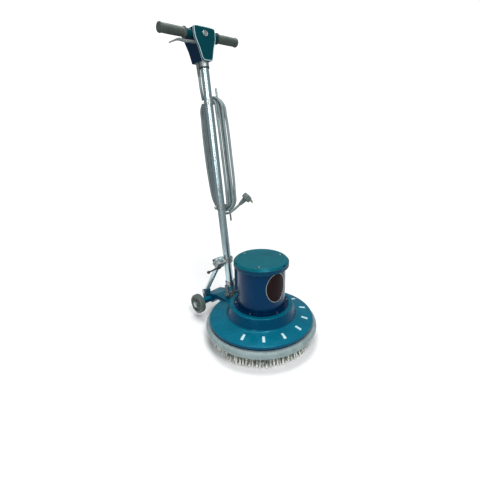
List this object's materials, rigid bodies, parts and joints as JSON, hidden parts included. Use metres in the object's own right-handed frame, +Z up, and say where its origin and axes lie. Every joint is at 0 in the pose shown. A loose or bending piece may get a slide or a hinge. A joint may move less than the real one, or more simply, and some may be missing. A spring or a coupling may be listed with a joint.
{
  "type": "single-disc rotary floor machine",
  "caption": "Upright single-disc floor scrubber and polisher: round brush under a cast deck, motor on top, tilting tube handle with a hand trigger, rear transport wheels and a wound cord.",
  "frame": {"origin": "on the floor, under the middle of the brush", "axes": "+Z up, -Y to the machine's front, +Y to the wheels and the operator, -X to the machine's right side"},
  "size_m": [0.4349, 0.5852, 1.1615],
  "materials": {
    "deck_paint": "gloss enamel, deep teal",
    "cover_paint": "gloss enamel, dark petrol blue",
    "lid_paint": "satin enamel, teal",
    "head_plastic": "moulded, dark teal",
    "trim_plastic": "pale blue-grey moulding",
    "grey_rubber": "smooth pale grey",
    "grip_rubber": "ribbed, dark grey-green",
    "wheel_rubber": "solid grey-green",
    "bristle": "nylon bristles in tufts",
    "block_plastic": "brush back",
    "blank_emblem": "plain dark plate",
    "mark_paint": "pale raised bars",
    "zinc_steel": "zinc plated",
    "tube_chrome": "chromed tube, lightly worn",
    "cast_silver": "as cast",
    "gear_steel": "hardened, oiled",
    "electrical_steel": "varnished laminations",
    "copper": "enamelled copper wire",
    "black_plastic": "moulded",
    "cord_jacket": "grey PVC sheath",
    "plug_plastic": "moulded grey plug",
    "plug_brass": "nickel-plated brass"
  },
  "bodies": {
    "base": {"deck_housing": "deck_paint", "bumper_ring": "grey_rubber", "deck_marks": "mark_paint", "gearbox_cover": "cast_silver", "ring_gear": "gear_steel", "output_bearing": "gear_steel", "output_seal": "black_plastic", "motor_lower_shield": "cast_silver", "motor_upper_shield": "cast_silver", "motor_bearings": "gear_steel", "stator_core": "electrical_steel", "stator_windings": "copper", "motor_bolts": "zinc_steel", "run_capacitor": "cast_silver", "motor_cover": "cover_paint", "housing_screws": "zinc_steel", "motor_lid": "lid_paint", "cover_emblem": "blank_emblem", "axle": "zinc_steel", "axle_caps": "zinc_steel", "pivot_bracket": "zinc_steel", "pivot_bolts": "zinc_steel"},
    "rotor": {"rotor_core": "electrical_steel", "rotor_shaft": "gear_steel", "cooling_fan": "black_plastic"},
    "brush": {"brush_bristles": "bristle", "brush_block": "block_plastic", "brush_clutch": "black_plastic", "drive_plate": "cast_silver", "drive_bolt": "zinc_steel", "planet_carrier": "gear_steel"},
    "planet_1": {"planet_gear_1": "gear_steel"},
    "planet_2": {"planet_gear_2": "gear_steel"},
    "planet_3": {"planet_gear_3": "gear_steel"},
    "right_wheel": {"wheel_right": "wheel_rubber"},
    "left_wheel": {"wheel_left": "wheel_rubber"},
    "handle": {"handle_fork": "zinc_steel", "handle_tube": "tube_chrome", "clamp_collar": "cast_silver", "cord_hooks": "zinc_steel", "head_housing": "head_plastic", "head_cover": "head_plastic", "head_trim": "trim_plastic", "handle_bar": "tube_chrome", "hand_grips": "grip_rubber", "switch_unit": "black_plastic", "head_badge": "cast_silver", "head_collar": "cast_silver", "strain_relief": "black_plastic", "cord_runs": "cord_jacket", "cord_hank": "cord_jacket", "plug_body": "plug_plastic", "plug_pins": "plug_brass", "trigger_pin": "zinc_steel", "trigger_spring": "zinc_steel"},
    "trigger": {"trigger_lever": "cast_silver"},
    "strut": {"strut_tube": "tube_chrome"},
    "clamp": {"clamp_block": "cast_silver"},
    "lever": {"clamp_lever": "black_plastic"}
  },
  "joints": [
    {"name": "handle_tilt", "type": "hinge", "parent": "base", "child": "handle", "pos_m": [0, 0.18, 0.118], "axis": [-1, 0, 0], "range_deg": [0, 35]},
    {"name": "strut_swing", "type": "hinge", "parent": "base", "child": "strut", "pos_m": [-0.042, 0.302, 0.098], "axis": [-1, 0, 0], "range_deg": [0, 21.96]},
    {"name": "clamp_swivel", "type": "hinge", "parent": "handle", "child": "clamp", "pos_m": [-0.042, 0.19984, 0.26668], "axis": [-1, 0, 0], "range_deg": [-13.14, 0]},
    {"name": "clamp_lever_turn", "type": "hinge", "parent": "clamp", "child": "lever", "pos_m": [-0.059, 0.19984, 0.26668], "axis": [0, -0.8554, -0.518], "range_deg": [0, 80]},
    {"name": "trigger_squeeze", "type": "hinge", "parent": "handle", "child": "trigger", "pos_m": [-0.028, 0.3038, 1.10631], "axis": [0, 0.9912, -0.1323], "range_deg": [0, 6], "stiffness_Nm_per_rad": 2, "springref_deg": -11.46},
    {"name": "brush_spin", "type": "hinge", "parent": "base", "child": "brush", "pos_m": [0, 0, 0.043], "axis": [0, 0, 1], "continuous": true},
    {"name": "rotor_spin", "type": "hinge", "parent": "base", "child": "rotor", "pos_m": [0, 0, 0.2], "axis": [0, 0, 1], "continuous": true},
    {"name": "right_wheel_roll", "type": "hinge", "parent": "base", "child": "right_wheel", "pos_m": [-0.103, 0.28, 0.068], "axis": [1, 0, 0], "continuous": true},
    {"name": "left_wheel_roll", "type": "hinge", "parent": "base", "child": "left_wheel", "pos_m": [0.103, 0.28, 0.068], "axis": [1, 0, 0], "continuous": true},
    {"name": "planet_1_spin", "type": "hinge", "parent": "brush", "child": "planet_1", "pos_m": [0.03, 0, 0.117], "axis": [0, 0, 1], "continuous": true},
    {"name": "planet_2_spin", "type": "hinge", "parent": "brush", "child": "planet_2", "pos_m": [-0.015, 0.02598, 0.117], "axis": [0, 0, 1], "continuous": true},
    {"name": "planet_3_spin", "type": "hinge", "parent": "brush", "child": "planet_3", "pos_m": [-0.015, -0.02598, 0.117], "axis": [0, 0, 1], "continuous": true}
  ],
  "couplings": [
    {"joint": "strut_swing", "follows": "handle_tilt", "ratio": 0.626},
    {"joint": "clamp_swivel", "follows": "handle_tilt", "ratio": -0.374},
    {"joint": "rotor_spin", "follows": "brush_spin", "ratio": 10},
    {"joint": "planet_1_spin", "follows": "brush_spin", "ratio": -2.25},
    {"joint": "planet_2_spin", "follows": "brush_spin", "ratio": -2.25},
    {"joint": "planet_3_spin", "follows": "brush_spin", "ratio": -2.25}
  ]
}
